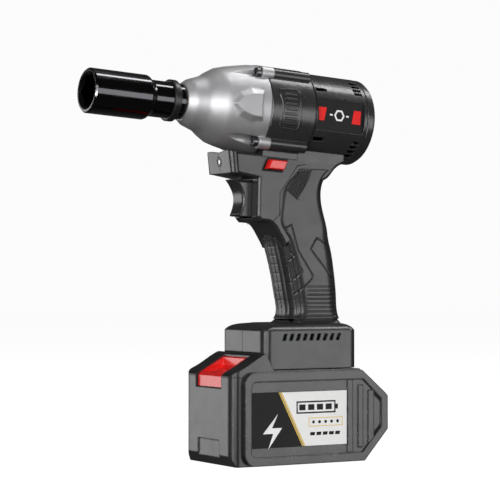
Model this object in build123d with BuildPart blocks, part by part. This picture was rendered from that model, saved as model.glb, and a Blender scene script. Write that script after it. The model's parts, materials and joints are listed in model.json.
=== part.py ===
from build123d import *
from math import acos, cos, pi, radians, sin, tan
import os

# Cordless impact wrench, in millimetres. +Z is up, -X is where the socket points and the
# battery stands flat on Z = 0. The origin is the centre of the battery's flat bottom.
# The drive line leans nose-up, so everything on it is given by u, the distance behind the
# nose along the drive axis, and w, the height above that axis.

# ---------------------------------------------------------------- driving dimensions
tilt = 3.4                          # lean of the drive axis, in degrees
nose = (-89.2, 0, 260.5)            # centre of the gear case's front face
running = 0.05                      # radial clearance of a running fit

drive_square = 12.7                 # 1/2 inch square drive
socket_across_flats = 22.0
socket_radius = 16.0
socket_neck_radius = 13.1
socket_front, socket_back = -74.0, -1.0

case_end = 57.5                     # back edge of the aluminium gear case
case_bore = 27.0
boss_y, boss_w = 21.5, 25.0         # the four long screws beside the drive line
boss_radius = 5.0
boss_front, boss_end = 52.5, 62.0     # their heads seat on the front of the lugs
screw_end = 78.0

barrel_radius = 32.1                # plastic motor housing
collar_radius = 33.4                # its thicker front part
barrel_bore = 29.4
collar_bore = 30.5
collar_end = 95.0
barrel_end = 141.0
cap_start = 141.3
cap_end = 156.6

module = 0.8                        # planetary gears
pressure_angle = 25.0
sun_teeth, planet_teeth, ring_teeth = 12, 18, 48
gear_front, gear_back = 71.8, 79.6
planets = 3
orbit = module * (sun_teeth + planet_teeth) / 2

stack_front, stack_back = 101.0, 125.0
stator_radius = 25.0
stator_bore = 15.0
rotor_radius = 12.0
magnet_radius = 14.3
shaft_radius = 3.0
slots = 6

grip_half = 18.2
block_half = 17.3
shell = 2.4

foot_front, foot_back = -37.4, 43.0
foot_half = 31.0
foot_bottom, foot_side_top, foot_top = 68.4, 96.0, 101.5

battery_half = 34.5
panel_half = 38.0
deck = 67.9                         # flat top of the battery
seam = 63.5                         # joint between the battery's tray and its cover
rail_head, rail_neck = 23.0, 19.0   # half widths of the battery's slide rail
rail_waist, rail_top = 71.8, 76.4
wall = 1.6                          # battery wall

cell_radius, cell_length = 9.1, 65.0
cell_column_pitch, cell_row_pitch = 18.6, 19.0
cell_columns, cell_rows = 5, 3

# ---------------------------------------------------------------- planes and helpers
lean_cos, lean_sin = cos(radians(tilt)), sin(radians(tilt))
side = Plane(origin=nose, x_dir=(lean_cos, 0, -lean_sin), z_dir=(0, -1, 0))
upright = Plane(origin=(0, 0, 0), x_dir=(1, 0, 0), z_dir=(0, -1, 0))
drive_axis = Axis(nose, (lean_cos, 0, -lean_sin))


def at(u, y=0.0, w=0.0):
    """The point at u behind the nose, y to the right and w above the drive axis."""
    return Vector(nose[0] + u * lean_cos + w * lean_sin, y, nose[2] - u * lean_sin + w * lean_cos)


def station(u, y=0.0, w=0.0):
    """A plane across the drive axis: local x is +Y, local y is w and its normal points back."""
    return Plane(origin=at(u, y, w), x_dir=(0, 1, 0), z_dir=(lean_cos, 0, -lean_sin))


def face(points, plane):
    """A closed flat outline."""
    with BuildSketch(plane) as outline:
        with BuildLine():
            Polyline(*points, close=True)
        make_face()
    return outline.sketch


def turn(points, mode=Mode.ADD, axis=drive_axis, plane=side):
    """Turn an outline round an axis, in the open part."""
    revolve(face(points, plane), axis=axis, mode=mode)


def ring(start, end, inner, outer, mode=Mode.ADD):
    """A tube round the drive axis; an inner radius of 0 makes it a solid bar."""
    turn([(start, inner), (end, inner), (end, outer), (start, outer)], mode)


def slab(points, low_y, high_y, plane=upright, mode=Mode.ADD):
    """An upright outline, made thick between two Y values."""
    extrude(face(points, plane.offset(-high_y)), amount=high_y - low_y, mode=mode)


def bar(plane, radius, length, mode=Mode.ADD):
    """A round bar from a plane, along its normal."""
    with BuildSketch(plane) as end:
        Circle(radius)
    extrude(end.sketch, amount=length, mode=mode)


def brick(low, high, mode=Mode.ADD):
    """A box between its lowest and highest corners."""
    size = [b - a for a, b in zip(low, high)]
    with Locations(tuple((a + b) / 2 for a, b in zip(low, high))):
        Box(*size, mode=mode)


def cross_bar(x, z, radius, low_y, high_y, mode=Mode.ADD):
    """A round bar along Y."""
    bar(Plane(origin=(x, high_y, z), x_dir=(1, 0, 0), z_dir=(0, -1, 0)), radius, high_y - low_y, mode)


def finish(part, label):
    """Name a finished piece and write it."""
    part.label = label
    export_step(part, f"parts/{label}.step")


def boss_places():
    """The four corners where the long screws run."""
    return [(y, w) for y in (-boss_y, boss_y) for w in (-boss_w, boss_w)]


def around(count, radius, start=0.0):
    """Points spread round the drive axis, as (y, w)."""
    turns = [radians(start + 360 * i / count) for i in range(count)]
    return [(radius * cos(a), radius * sin(a)) for a in turns]


def involute(angle):
    return tan(angle) - angle


def gear(plane, teeth, tip, root, thickness, turned=0.0):
    """A spur gear's outline; thickness is its share of the pitch at the pitch circle."""
    pitch_radius = module * teeth / 2
    base = pitch_radius * cos(radians(pressure_angle))
    half = thickness * pi / teeth + involute(radians(pressure_angle))
    start = max(root, base)
    flank = [(root, half - involute(acos(base / start)))]
    for step in range(4):
        radius = start + (tip - start) * step / 3
        flank.append((radius, half - involute(acos(base / radius))))
    points = []
    for tooth in range(teeth):
        middle = 2 * pi * tooth / teeth + radians(turned)
        points += [(r * cos(middle - a), r * sin(middle - a)) for r, a in flank]
        points += [(r * cos(middle + a), r * sin(middle + a)) for r, a in reversed(flank)]
    unique = [p for p, q in zip(points, points[-1:] + points) if abs(p[0] - q[0]) + abs(p[1] - q[1]) > 1e-6]
    return face(unique, plane)


def bearing(plane, inner, outer, width, balls=8):
    """A ball bearing from a plane along its normal: two rings and their balls."""
    middle, ball = (inner + outer) / 2, (outer - inner) * 0.16
    track = ball + running
    for low, high in ((inner, middle - track), (middle + track, outer)):
        with BuildSketch(plane) as race:
            Circle(high)
            Circle(low, mode=Mode.SUBTRACT)
        extrude(race.sketch, amount=width)
    with Locations(plane.offset(width / 2)):
        with PolarLocations(middle, balls):
            Sphere(ball)


os.makedirs("parts", exist_ok=True)

# ---------------------------------------------------------------- socket and anvil
with BuildPart() as socket:
    turn([(socket_front, 0), (socket_front, 15.0), (socket_front + 1.2, socket_radius), (-30, socket_radius),
          (-28.6, 15.4), (-26.4, 13.6), (-25, socket_neck_radius), (-11.2, socket_neck_radius),
          (-11.2, 11.7), (-5.4, 11.7), (-5.4, socket_neck_radius), (-1.8, socket_neck_radius),
          (socket_back, 12.4), (socket_back, 0)])
    with BuildSketch(station(socket_front)) as hexagon:
        RegularPolygon(socket_across_flats / 2, 6, major_radius=False)
    extrude(hexagon.sketch, amount=38, mode=Mode.SUBTRACT)
    turn([(socket_front, 0), (socket_front, 13.6), (socket_front + 2.4, 11.0), (socket_front + 2.4, 0)],
         Mode.SUBTRACT)
    ring(-37, -18, 0, 9.4, Mode.SUBTRACT)
    with BuildSketch(station(-18.5)) as square_hole:
        Rectangle(drive_square + 0.2, drive_square + 0.2)
    extrude(square_hole.sketch, amount=18.5, mode=Mode.SUBTRACT)
finish(socket.part, "socket")

with BuildPart() as socket_ring:
    turn([(-11.0, 11.75), (-11.0, 14.0), (-10.2, 15.0), (-6.4, 15.0), (-5.6, 14.0), (-5.6, 11.75)])
finish(socket_ring.part, "socket_ring")

anvil_shaft = 8.0
ear_front, ear_back = 24.5, 33.0
with BuildPart() as anvil:
    with BuildSketch(station(-16)) as square:
        Rectangle(drive_square, drive_square)
        Circle(8.6, mode=Mode.INTERSECT)
    extrude(square.sketch, amount=17)
    turn([(-17, 9), (-17, 7.2), (-15, 9)], Mode.SUBTRACT)
    ring(-5.2, -3.2, 5.9, 9, Mode.SUBTRACT)
    ring(0.3, ear_back + 2, 0, anvil_shaft)
    ring(ear_front, ear_back, 0, 12.0)
    with BuildSketch(station(ear_front)) as ears:
        Circle(22.0)
        Rectangle(46, 15.0, mode=Mode.INTERSECT)
    extrude(ears.sketch, amount=ear_back - ear_front)
    ring(26, ear_back + 3, 0, 5.0 + running, Mode.SUBTRACT)
finish(anvil.part, "anvil")

with BuildPart() as friction_ring:
    with BuildSketch(station(-4.9)) as clip:
        Circle(8.4)
        Rectangle(drive_square, drive_square, mode=Mode.INTERSECT)
        Circle(5.9, mode=Mode.SUBTRACT)
    extrude(clip.sketch, amount=1.4)
finish(friction_ring.part, "friction_ring")

with BuildPart() as anvil_bushing:
    ring(1.2, 21.0, anvil_shaft + running, 10.5)
finish(anvil_bushing.part, "anvil_bushing")

with BuildPart() as anvil_washer:
    ring(22.9, 24.2, anvil_shaft + 0.3, 14.0)
finish(anvil_washer.part, "anvil_washer")

# ---------------------------------------------------------------- gear case
dome_out, dome_slope = 34.0, 10.0     # side domes: reach from the drive line, and lean
with BuildPart() as gear_case:
    turn([(0, 0), (0, 13.4), (5, 17.0), (10, 18.7), (15, 20.5), (20, 24.0), (26, 27.4), (33, 29.3),
          (40, 30.7), (46, 31.8), (52, 32.7), (case_end, 33.1), (case_end, 29.9), (69.0, 29.9), (69.0, 0)])
    for y, w in boss_places():
        bar(station(boss_front, y, w), boss_radius, boss_end - boss_front)
    for outward in (-1, 1):
        along, out = Vector(lean_cos, 0, -lean_sin), Vector(0, outward, 0)
        slope = along * cos(radians(dome_slope)) + out * sin(radians(dome_slope))
        lift = out * cos(radians(dome_slope)) - along * sin(radians(dome_slope))
        with BuildSketch(Plane(origin=at(0, 22 * outward), x_dir=along, z_dir=out)) as dome_foot:
            with BuildLine():
                Polyline((22, 0), (29.5, 15.0), (42, 19.4), (58.5, 18.6), (58.5, -18.6), (42, -19.4),
                         (29.5, -15.0), close=True)
            make_face()
        with BuildSketch(Plane(origin=at(49, dome_out * outward), x_dir=slope, z_dir=lift)) as dome_top:
            with BuildLine():
                Polyline((-19.5, 0), (-14, 4.8), (-7, 7.6), (0, 8.2), (0, -8.2), (-7, -7.6),
                         (-14, -4.8), close=True)
            make_face()
        loft([dome_foot.sketch, dome_top.sketch], ruled=True)
    for y, w in boss_places():
        bar(station(28, y, w), 4.3, boss_front - 28, Mode.SUBTRACT)
        bar(station(boss_front - 1, y, w), 2.1, 16, Mode.SUBTRACT)
    turn([(-1, 0), (-1, 9.6), (1.2, 9.6), (1.2, 10.5), (22.8, 10.5), (22.8, 14.5), (24.3, 14.5),
          (24.3, 22.6), (29.5, 25.4), (33, case_bore - 1), (38, case_bore), (70, case_bore), (70, 0)],
         Mode.SUBTRACT)
    turn([(-0.5, 9.0), (-0.5, 12.6), (1.1, 10.4), (1.1, 9.0)], Mode.SUBTRACT)
finish(gear_case.part, "gear_case")

with BuildPart() as gear_case_screws:
    for y, w in boss_places():
        bar(station(boss_front - 3.6, y, w), 3.6, 3.6)
        bar(station(boss_front, y, w), 2.0, screw_end - boss_front)
        with BuildSketch(station(boss_front - 3.6, y, w)) as hex_key:
            RegularPolygon(1.6, 6)
        extrude(hex_key.sketch, amount=2.0, mode=Mode.SUBTRACT)
finish(gear_case_screws.part, "gear_case_screws")

# ---------------------------------------------------------------- hammer and spindle
hammer_front, hammer_back = 37.0, 57.0
hammer_radius = 25.0
spindle_radius = 8.5
ball_orbit = 9.2
with BuildPart() as hammer:
    ring(hammer_front, hammer_back, spindle_radius + running, hammer_radius)
    with BuildSketch(station(28.6)) as lugs:
        Circle(24.3)
        Rectangle(15.5, 60, mode=Mode.INTERSECT)
        Circle(13.0, mode=Mode.SUBTRACT)
    extrude(lugs.sketch, amount=hammer_front - 28.6)
    ring(hammer_front - 1, 47.3, spindle_radius - 1, 12.4, Mode.SUBTRACT)
    ring(48.9, hammer_back + 1, 12.8, 19.3, Mode.SUBTRACT)
finish(hammer.part, "hammer")

with BuildPart() as cam_balls:
    for y, w in around(2, ball_orbit, 90):
        with Locations(at(44.0, y, w)):
            Sphere(2.9)
finish(cam_balls.part, "cam_balls")

with BuildPart() as thrust_balls:
    for y, w in around(16, 16.0):
        with Locations(at(50.4, y, w)):
            Sphere(1.25)
finish(thrust_balls.part, "thrust_balls")

with BuildPart() as thrust_washer:
    ring(51.8, 53.0, 13.2, 18.9)
finish(thrust_washer.part, "thrust_washer")

spring_start, spring_end = 53.2, 68.0
spring_wire, spring_turns = 1.5, 2.5
with BuildPart() as hammer_spring:
    coil_pitch = (spring_end - spring_start - 2 * spring_wire) / spring_turns
    start_point = at(spring_start + spring_wire)
    wire_path = Helix(coil_pitch, coil_pitch * spring_turns, 16.0, center=start_point,
                      direction=(lean_cos, 0, -lean_sin))
    with BuildSketch(Plane(origin=wire_path @ 0, z_dir=wire_path % 0)) as wire_end:
        Circle(spring_wire)
    sweep(wire_end.sketch, path=wire_path)
finish(hammer_spring.part, "hammer_spring")

carrier_front = 68.2
with BuildPart() as spindle:
    ring(26.4, 38, 0, 5.0)
    ring(36, carrier_front + 0.1, 0, spindle_radius)
    ring(carrier_front, 71.2, 0, 21.0)
    for y, w in around(planets, 15.4, 60):
        bar(station(71.0, y, w), 2.6, 9.4)
    ring(80.2, 83.0, 0, 18.2)
    ring(83.0, 88.2, 0, 9.0)
    ring(71.2, 89, 0, 6.2, Mode.SUBTRACT)
    ring(40.8, 51.6, 6.2, spindle_radius + 1, Mode.SUBTRACT)
    for y, w in around(planets, orbit):
        bar(station(68.0, y, w), 3.0, 16, Mode.SUBTRACT)
finish(spindle.part, "spindle")

with BuildPart() as planet_pins:
    for y, w in around(planets, orbit):
        bar(station(68.4, y, w), 3.0, 14.4)
finish(planet_pins.part, "planet_pins")

planet_pitch = module * planet_teeth / 2
for index, (y, w) in enumerate(around(planets, orbit)):
    with BuildPart() as planet_gear:
        turned = 180 / planet_teeth + 360 * index / planets
        teeth = gear(station(gear_front, y, w), planet_teeth, planet_pitch + 0.8 * module,
                     planet_pitch - 1.1 * module, 0.44, turned)
        extrude(teeth, amount=gear_back - gear_front)
        bar(station(gear_front, y, w), 3.0 + running, gear_back - gear_front, Mode.SUBTRACT)
    finish(planet_gear.part, f"planet_gear_{index + 1}")

ring_pitch = module * ring_teeth / 2
with BuildPart() as ring_gear:
    ring(gear_front, gear_back, 0, 26.9)
    spaces = gear(station(gear_front), ring_teeth, ring_pitch + 1.1 * module, ring_pitch - 0.8 * module,
                  0.56, 180 / ring_teeth)
    extrude(spaces, amount=gear_back - gear_front, mode=Mode.SUBTRACT)
finish(ring_gear.part, "ring_gear")

# ---------------------------------------------------------------- motor
with BuildPart() as motor_bracket:
    turn([(70.6, 27.0), (83.4, 27.0), (83.4, 14.0), (88.4, 14.0), (88.4, 6.0), (89.6, 6.0), (89.6, 8.0),
          (95.0, 8.0), (95.0, 14.5), (89.0, 16.5), (88.4, 29.9), (70.6, 29.9)])
    for y, w in around(6, 21.5):
        bar(station(80, y, w), 2.6, 12, Mode.SUBTRACT)
finish(motor_bracket.part, "motor_bracket")

with BuildPart() as spindle_bearing:
    bearing(station(83.5), 9.0, 14.0, 4.8, 12)
finish(spindle_bearing.part, "spindle_bearing")

with BuildPart() as front_motor_bearing:
    bearing(station(89.7), shaft_radius + running / 2, 8.0, 4.8)
finish(front_motor_bearing.part, "front_motor_bearing")

rear_bearing_front, rear_bearing_back = 146.6, 152.2
with BuildPart() as rear_motor_bearing:
    bearing(station(rear_bearing_front), shaft_radius + running / 2, 9.5,
            rear_bearing_back - rear_bearing_front)
finish(rear_motor_bearing.part, "rear_motor_bearing")

sun_pitch = module * sun_teeth / 2
with BuildPart() as rotor_shaft:
    ring(80, 153.0, 0, shaft_radius)
    extrude(gear(station(gear_front - 0.3), sun_teeth, sun_pitch + 0.8 * module,
                 sun_pitch - 1.1 * module, 0.44), amount=9.2)
finish(rotor_shaft.part, "rotor_shaft")

with BuildPart() as rotor_core:
    ring(stack_front, stack_back, shaft_radius + running / 2, rotor_radius)
finish(rotor_core.part, "rotor_core")

with BuildPart() as rotor_magnets:
    with BuildSketch(station(stack_front)) as arcs:
        Circle(magnet_radius)
        Circle(rotor_radius + running, mode=Mode.SUBTRACT)
        Rectangle(2.4, 40, mode=Mode.SUBTRACT)
        Rectangle(40, 2.4, mode=Mode.SUBTRACT)
    extrude(arcs.sketch, amount=stack_back - stack_front)
finish(rotor_magnets.part, "rotor_magnets")

fan_front, fan_back = 131.0, 139.0
fan_radius = 25.0
with BuildPart() as fan:
    ring(fan_front, fan_front + 1.6, shaft_radius + running / 2, fan_radius)
    ring(fan_front, fan_back, shaft_radius + running / 2, 6.5)
    with Locations(station((fan_front + fan_back) / 2 + 0.5)):
        with PolarLocations(15.5, 13):
            Box(18.4, 1.2, fan_back - fan_front - 1.0, rotation=(0, 0, 14))
finish(fan.part, "fan")

with BuildPart() as stator_core:
    with BuildSketch(station(stack_front)) as lamination:
        Circle(stator_radius)
        Circle(21.6, mode=Mode.SUBTRACT)
        with PolarLocations(18.5, slots):
            Rectangle(7.4, 5.2)
        with PolarLocations(16.4, slots):
            Rectangle(1.6, 13.4)
        Circle(stator_bore, mode=Mode.SUBTRACT)
    extrude(lamination.sketch, amount=stack_back - stack_front)
finish(stator_core.part, "stator_core")

coil_overhang = 3.2
with BuildPart() as windings:
    with Locations(station((stack_front + stack_back) / 2)):
        with PolarLocations(19.1, slots):
            Box(3.0, 10.4, stack_back - stack_front + 2 * coil_overhang)
            Box(4.0, 5.4, stack_back - stack_front + 0.4, mode=Mode.SUBTRACT)
finish(windings.part, "windings")

with BuildPart() as stator_insulators:
    ring(stack_front - 2.6, stack_front, 21.7, 24.6)
    ring(stack_back, stack_back + 2.6, 21.7, 24.6)
finish(stator_insulators.part, "stator_insulators")

with BuildPart() as sensor_board:
    ring(96.2, 97.4, 8.5, 24.5)
finish(sensor_board.part, "sensor_board")

# ---------------------------------------------------------------- housing shapes
# Cross sections of the grip: height, front, back, half width and corner radius.
grip_sections = [
    (101.0, -8.6, 41.6, 19.8, 9.0), (104.0, -5.2, 39.9, 18.8, 11.0), (110.0, -3.6, 39.0, grip_half, 13.0),
    (121.0, -5.4, 38.4, grip_half, 13.5), (133.0, -7.7, 37.3, grip_half, 13.5),
    (145.0, -10.3, 35.4, grip_half, 13.0), (155.0, -12.7, 33.0, grip_half, 12.0),
    (163.0, -15.2, 30.4, grip_half, 11.0), (170.0, -18.6, 28.4, grip_half, 9.0),
    (177.0, -20.4, 26.2, grip_half, 8.0), (186.0, -19.6, 23.6, grip_half, 8.0),
    (196.0, -18.0, 22.4, grip_half, 8.0), (206.0, -12.0, 24.6, grip_half, 8.0),
    (213.0, -5.0, 30.2, grip_half, 8.0), (217.5, 1.0, 36.5, grip_half, 8.0),
]
skin = 1.6
foot_corner = 6.5


def grip(inset, lowest=100.0, highest=218.0):
    """The grip's smooth body, drawn in by an inset."""
    slices = []
    for height, front, back, half, corner in grip_sections:
        if lowest <= height <= highest:
            with BuildSketch(Plane.XY.offset(height)) as slice_at:
                with Locations(((front + back) / 2, 0)):
                    RectangleRounded(back - front - 2 * inset, 2 * (half - inset), corner - inset)
            slices.append(slice_at.sketch)
    loft(slices)


def foot_slice(height, front, back, half, corner):
    with BuildSketch(Plane.XY.offset(height)) as outline:
        with Locations(((front + back) / 2, 0)):
            RectangleRounded(back - front, 2 * half, corner)
    return outline.sketch


with BuildPart() as solid_body:
    # motor barrel with its collar
    turn([(case_end + 0.3, 0), (case_end + 0.3, collar_radius - 0.6), (case_end + 0.9, collar_radius),
          (collar_end - 0.6, collar_radius), (collar_end, collar_radius - 0.6),
          (collar_end, barrel_radius - 0.9), (collar_end + 1.2, barrel_radius - 0.9),
          (collar_end + 1.8, barrel_radius), (barrel_end, barrel_radius), (barrel_end, 0)])
    # upper handle with the lamp nose and the trigger's back wall
    with BuildSketch(side.offset(-block_half)) as block_side:
        with BuildLine():
            lip = Polyline((64, -26), (64, -32.3), (33, -32.3), (36.2, -48.5), (58.5, -50.8),
                           (59.3, -78.5), (62.4, -81.6), (68.0, -81.6))
            throat = Spline(lip @ 1, (74.0, -84.6), (78.5, -90.5), (84.0, -99.0),
                            tangents=[(1, -0.05), (0.5, -1)])
            inside = Polyline(throat @ 1, (104, -84), (108, -60), (112.5, -50))
            rear = Spline(inside @ 1, (117.9, -45.8), (123.3, -39.5), (133, -33.0),
                          tangents=[(0.5, 1), (1, 0.3)])
            Polyline(rear @ 1, (133, -26), (64, -26))
        make_face()
    extrude(block_side.sketch, amount=2 * block_half)
    soft_edges = [e for e in edges() if abs(abs(e.center().Y) - block_half) < 0.01 and e.center().Z < 226]
    fillet(soft_edges, radius=2.6)
    grip(skin)
    # foot over the battery
    slab([(foot_front, 80.7), (foot_front, foot_side_top), (foot_back, foot_side_top),
          (foot_back, foot_bottom), (-30.5, foot_bottom)], -foot_half, foot_half)
    upright_edges = [e for e in edges().filter_by(Axis.Z) if abs(abs(e.center().Y) - foot_half) < 0.01]
    fillet(upright_edges, radius=foot_corner)
    loft([foot_slice(foot_side_top, foot_front, foot_back, foot_half, foot_corner),
          foot_slice(98.4, foot_front + 2.2, foot_back - 1.8, foot_half - 1.9, foot_corner),
          foot_slice(100.4, foot_front + 7.0, foot_back - 4.6, foot_half - 6.5, foot_corner),
          foot_slice(foot_top, foot_front + 16, foot_back - 9, foot_half - 14, foot_corner)])
    # rods for the long screws, the selector's surround and the ledge under the barrel
    for y, w in boss_places():
        bar(station(boss_end + 0.3, y, w), 4.7, collar_end - boss_end - 2.4)
    slab([(60.5, -34.6), (60.5, -30.0), (90, -30.0), (90, -34.6)], -block_half - 0.8, block_half + 0.8, side)
    # room for the gear case and its lugs
    turn([(20, 0), (20, 33.5), (case_end + 0.3, 33.5), (case_end + 0.3, 0)], Mode.SUBTRACT)
    for y, w in boss_places():
        bar(station(40, y, w), boss_radius + 0.25, boss_end + 0.3 - 40, Mode.SUBTRACT)

selector_outline = [(62.6, -43.8), (65.6, -36.2), (80.4, -36.2), (77.4, -43.8)]
lamp = (34.6, -40.2)
lamp_axis = (-lean_cos * 0.981 - lean_sin * 0.194, 0, lean_sin * 0.981 - lean_cos * 0.194)
badge_front, badge_back, badge_half = 97.5, 138.5, 11.8
badge_floor = 28.7
vent_w = [17.6, 20.6, 23.6, 26.4]
outside = 40.0

# The two halves are screwed together from the right. Each place is (x, z, lowest y, highest y).
screw_places = [(-30.5, 86.2, 30.3), (37.2, 86.2, 30.3), (1.5, 128.0, 16.2), (27.0, 116.0, 16.2),
                (12.5, 166.0, 16.2), (-44.0, 219.0, 16.8), (26.0, 221.5, 17.0)]
screw_head, screw_shank = 2.8, 1.5

with BuildPart() as hollow:
    # motor bore, with a flat floor left behind each badge
    turn([(case_end, 0), (case_end, collar_bore), (collar_end, collar_bore), (collar_end, barrel_bore),
          (103, barrel_bore), (103, stator_radius + running), (105, stator_radius + running),
          (105, barrel_bore),
          (120.5, barrel_bore), (120.5, stator_radius + running), (122.5, stator_radius + running),
          (122.5, barrel_bore), (barrel_end + 1, barrel_bore), (barrel_end + 1, 0)])
    for low_y, high_y in ((-outside, shell - badge_floor), (badge_floor - shell, outside)):
        slab([(badge_front - 1.5, -badge_half - 1.5), (badge_front - 1.5, badge_half + 1.5),
              (badge_back + 1.2, badge_half + 1.5), (badge_back + 1.2, -badge_half - 1.5)],
             low_y, high_y, side, Mode.SUBTRACT)
    # inside of the lamp nose and the trigger housing
    slab([(36.4, -35.9), (38.7, -46.0), (61.2, -48.4), (61.9, -78.8), (84, -78.8), (100, -60), (108, -37.5),
          (100, -35.9)], -block_half + shell, block_half - shell, side)
    grip(skin + 2.2)
    brick((-4, -14, 93), (36, 14, 112))
    # controller bay in the foot
    brick((foot_front + shell, -foot_half + shell, 79.4), (foot_back - shell, foot_half - shell, 93.8))
    # battery channel, open at the front
    brick((foot_front - 2, -rail_head - 0.5, rail_waist - 0.4), (39.6, rail_head + 0.5, 77.0))
    brick((foot_front - 2, -rail_neck - 0.5, foot_bottom - 1), (39.6, rail_neck + 0.5, rail_waist))
    # wire way from the handle to the motor, and the trigger's slot
    slab([(97, -40), (97, -27), (112, -27), (112, -40)], -7, 7, side)
    slab([(56, -51.6), (56, -79.3), (64, -79.3), (64, -51.6)], -8.5, 8.5, side)
    # posts are left standing for the screws between the halves
    for x, z, half in screw_places:
        cross_bar(x, z, 3.9, -half - 4, half + 4, Mode.SUBTRACT)

with BuildPart() as cuts:
    # selector slot, lamp seat and bore
    slab(selector_outline, -30, 30, side)
    bar(Plane(origin=at(lamp[0] - 2.5, 0, lamp[1] - 0.5), z_dir=[-a for a in lamp_axis]), 3.4, 10)
    # badge recesses
    for low_y, high_y in ((-outside, -badge_floor), (badge_floor, outside)):
        slab([(badge_front, -badge_half), (badge_front, badge_half), (badge_back, badge_half),
              (badge_back, -badge_half)], low_y, high_y, side)
    # intake slots near the collar and outlet slots round the fan
    for w in (17.8, -18.4):
        slab([(97.4, w - 1.2), (97.4, w + 1.2), (107.0, w + 1.2), (107.0, w - 1.2)], -outside, outside, side)
    for height in vent_w:
        for w in (height, -height - 0.8):
            slab([(131.5, w - 0.9), (131.5, w + 0.9), (138.2, w + 0.9), (138.2, w - 0.9)],
                 -outside, outside, side)
    # slanted slots along the foot
    for index in range(9):
        x = -22.1 + 5.75 * index
        slab([(x, 88.8), (x + 2.9, 88.8), (x + 4.5, 93.7), (x + 1.6, 93.7)], -outside, outside)
    # bores for the long screws
    for y, w in boss_places():
        bar(station(boss_end, y, w), 2.05, screw_end + 1 - boss_end)


def screw_holes():
    """Shank and head bores of the housing screws."""
    for x, z, half in screw_places:
        cross_bar(x, z, screw_shank + running, -half + 3.0, 40, Mode.SUBTRACT)
        cross_bar(x, z, screw_head + 0.2, half - 3.4, 40, Mode.SUBTRACT)


with BuildPart() as whole_housing:
    add(solid_body.part)
    add(hollow.part, mode=Mode.SUBTRACT)
    add(cuts.part, mode=Mode.SUBTRACT)
    screw_holes()

for label, keep in (("housing_left", (-60, 0)), ("housing_right", (0, 60))):
    with BuildPart() as half_housing:
        add(whole_housing.part)
        brick((-120, keep[0], 40), (120, keep[1], 330), Mode.INTERSECT)
    finish(half_housing.part, label)

skin_top = 214.5
with BuildPart() as whole_skin:
    grip(0, 103.0)
    add(solid_body.part, mode=Mode.SUBTRACT)
    add(cuts.part, mode=Mode.SUBTRACT)
    screw_holes()

for label, keep in (("grip_skin_left", (-60, 0)), ("grip_skin_right", (0, 60))):
    with BuildPart() as half_skin:
        add(whole_skin.part)
        brick((-120, keep[0], 40), (120, keep[1], skin_top), Mode.INTERSECT)
    finish(half_skin.part, label)

with BuildPart() as housing_screws:
    for x, z, half in screw_places:
        cross_bar(x, z, screw_shank, -half + 3.4, half - 3.4)
        cross_bar(x, z, screw_head, half - 3.4, half - 1.2)
        with BuildSketch(Plane(origin=(x, half - 1.2, z), x_dir=(1, 0, 0), z_dir=(0, -1, 0))) as cross:
            Rectangle(3.4, 0.8)
            Rectangle(0.8, 3.4)
        extrude(cross.sketch, amount=1.2, mode=Mode.SUBTRACT)
finish(housing_screws.part, "housing_screws")

with BuildPart() as rear_cover:
    with BuildSketch(side) as cap_profile:
        with BuildLine():
            rim = Polyline((140.0, 28.6), (140.0, 29.3), (cap_start, 29.3), (cap_start, 31.3), (142.0, 32.0),
                           (145.9, 32.0), (146.4, 31.2), (147.0, 31.2))
            dome = Spline(rim @ 1, (149.1, 29.2), (151.2, 25), (154.0, 18.0), (156.0, 9.0), (cap_end, 0),
                          tangents=[(1, -0.3), (0, -1)])
            Polyline(dome @ 1, (154.0, 0), (154.0, 9.0), (rear_bearing_back + 0.1, 9.0),
                     (rear_bearing_back + 0.1, 9.52), (rear_bearing_front - 0.2, 9.52),
                     (rear_bearing_front - 0.2, 12.6), (152.5, 12.6), (151.4, 17.6), (148.8, 23.6),
                     (146.6, 27.0), (145.4, 28.6), (140.0, 28.6))
        make_face()
    revolve(cap_profile.sketch, axis=drive_axis)
finish(rear_cover.part, "rear_cover")

badge_gap = 0.4
for label, low_y in (("badge_left", -badge_floor - 0.9), ("badge_right", badge_floor)):
    with BuildPart() as badge:
        slab([(badge_front + badge_gap, badge_gap - badge_half),
              (badge_front + badge_gap, badge_half - badge_gap),
              (badge_back - badge_gap, badge_half - badge_gap),
              (badge_back - badge_gap, badge_gap - badge_half)],
             low_y, low_y + 0.9, side)
    finish(badge.part, label)

# ---------------------------------------------------------------- controls and lamp
trigger_half = 8.0
with BuildPart() as trigger:
    with BuildSketch(side.offset(-trigger_half)) as trigger_side:
        with BuildLine():
            back = Polyline((49.6, -77.0), (50.6, -78.3), (66.5, -78.3), (66.5, -52.0), (43.9, -52.0))
            Spline(back @ 1, (48.6, -57.6), (51.8, -66.0), (51.3, -71.5), (49.6, -77.0))
        make_face()
    extrude(trigger_side.sketch, amount=2 * trigger_half)
    front_edges = [e for e in edges() if abs(abs(e.center().Y) - trigger_half) < 0.01
                   and e.center().X < at(55).X and e.length > 20]
    fillet(front_edges, radius=2.2)
    slab([(56.5, -75.8), (67, -75.8), (67, -54.4), (54, -54.4)], -trigger_half + 2, trigger_half - 2, side,
         Mode.SUBTRACT)
    bar(station(53.5, 0, -64), 4.2, 8.7)
    bar(station(60, 0, -64), 2.0, 14)
finish(trigger.part, "trigger")

with BuildPart() as trigger_switch:
    slab([(78, -76.5), (78, -53.5), (96, -53.5), (96, -76.5)], -9.5, 9.5, side)
    slab([(84, -53.6), (84, -50.5), (91, -50.5), (91, -53.6)], -5, 5, side)
    bar(station(70, 0, -64), 2.0 + running, 20, Mode.SUBTRACT)
finish(trigger_switch.part, "trigger_switch")


def spring_along(plane, radius, wire, length, turns):
    """A round-wire coil spring from a plane, along its normal."""
    rise = length - 2 * wire
    start = plane.origin + plane.z_dir * wire
    path = Helix(rise / turns, rise, radius, center=start, direction=plane.z_dir)
    with BuildSketch(Plane(origin=path @ 0, z_dir=path % 0)) as section:
        Circle(wire)
    sweep(section.sketch, path=path)


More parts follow.
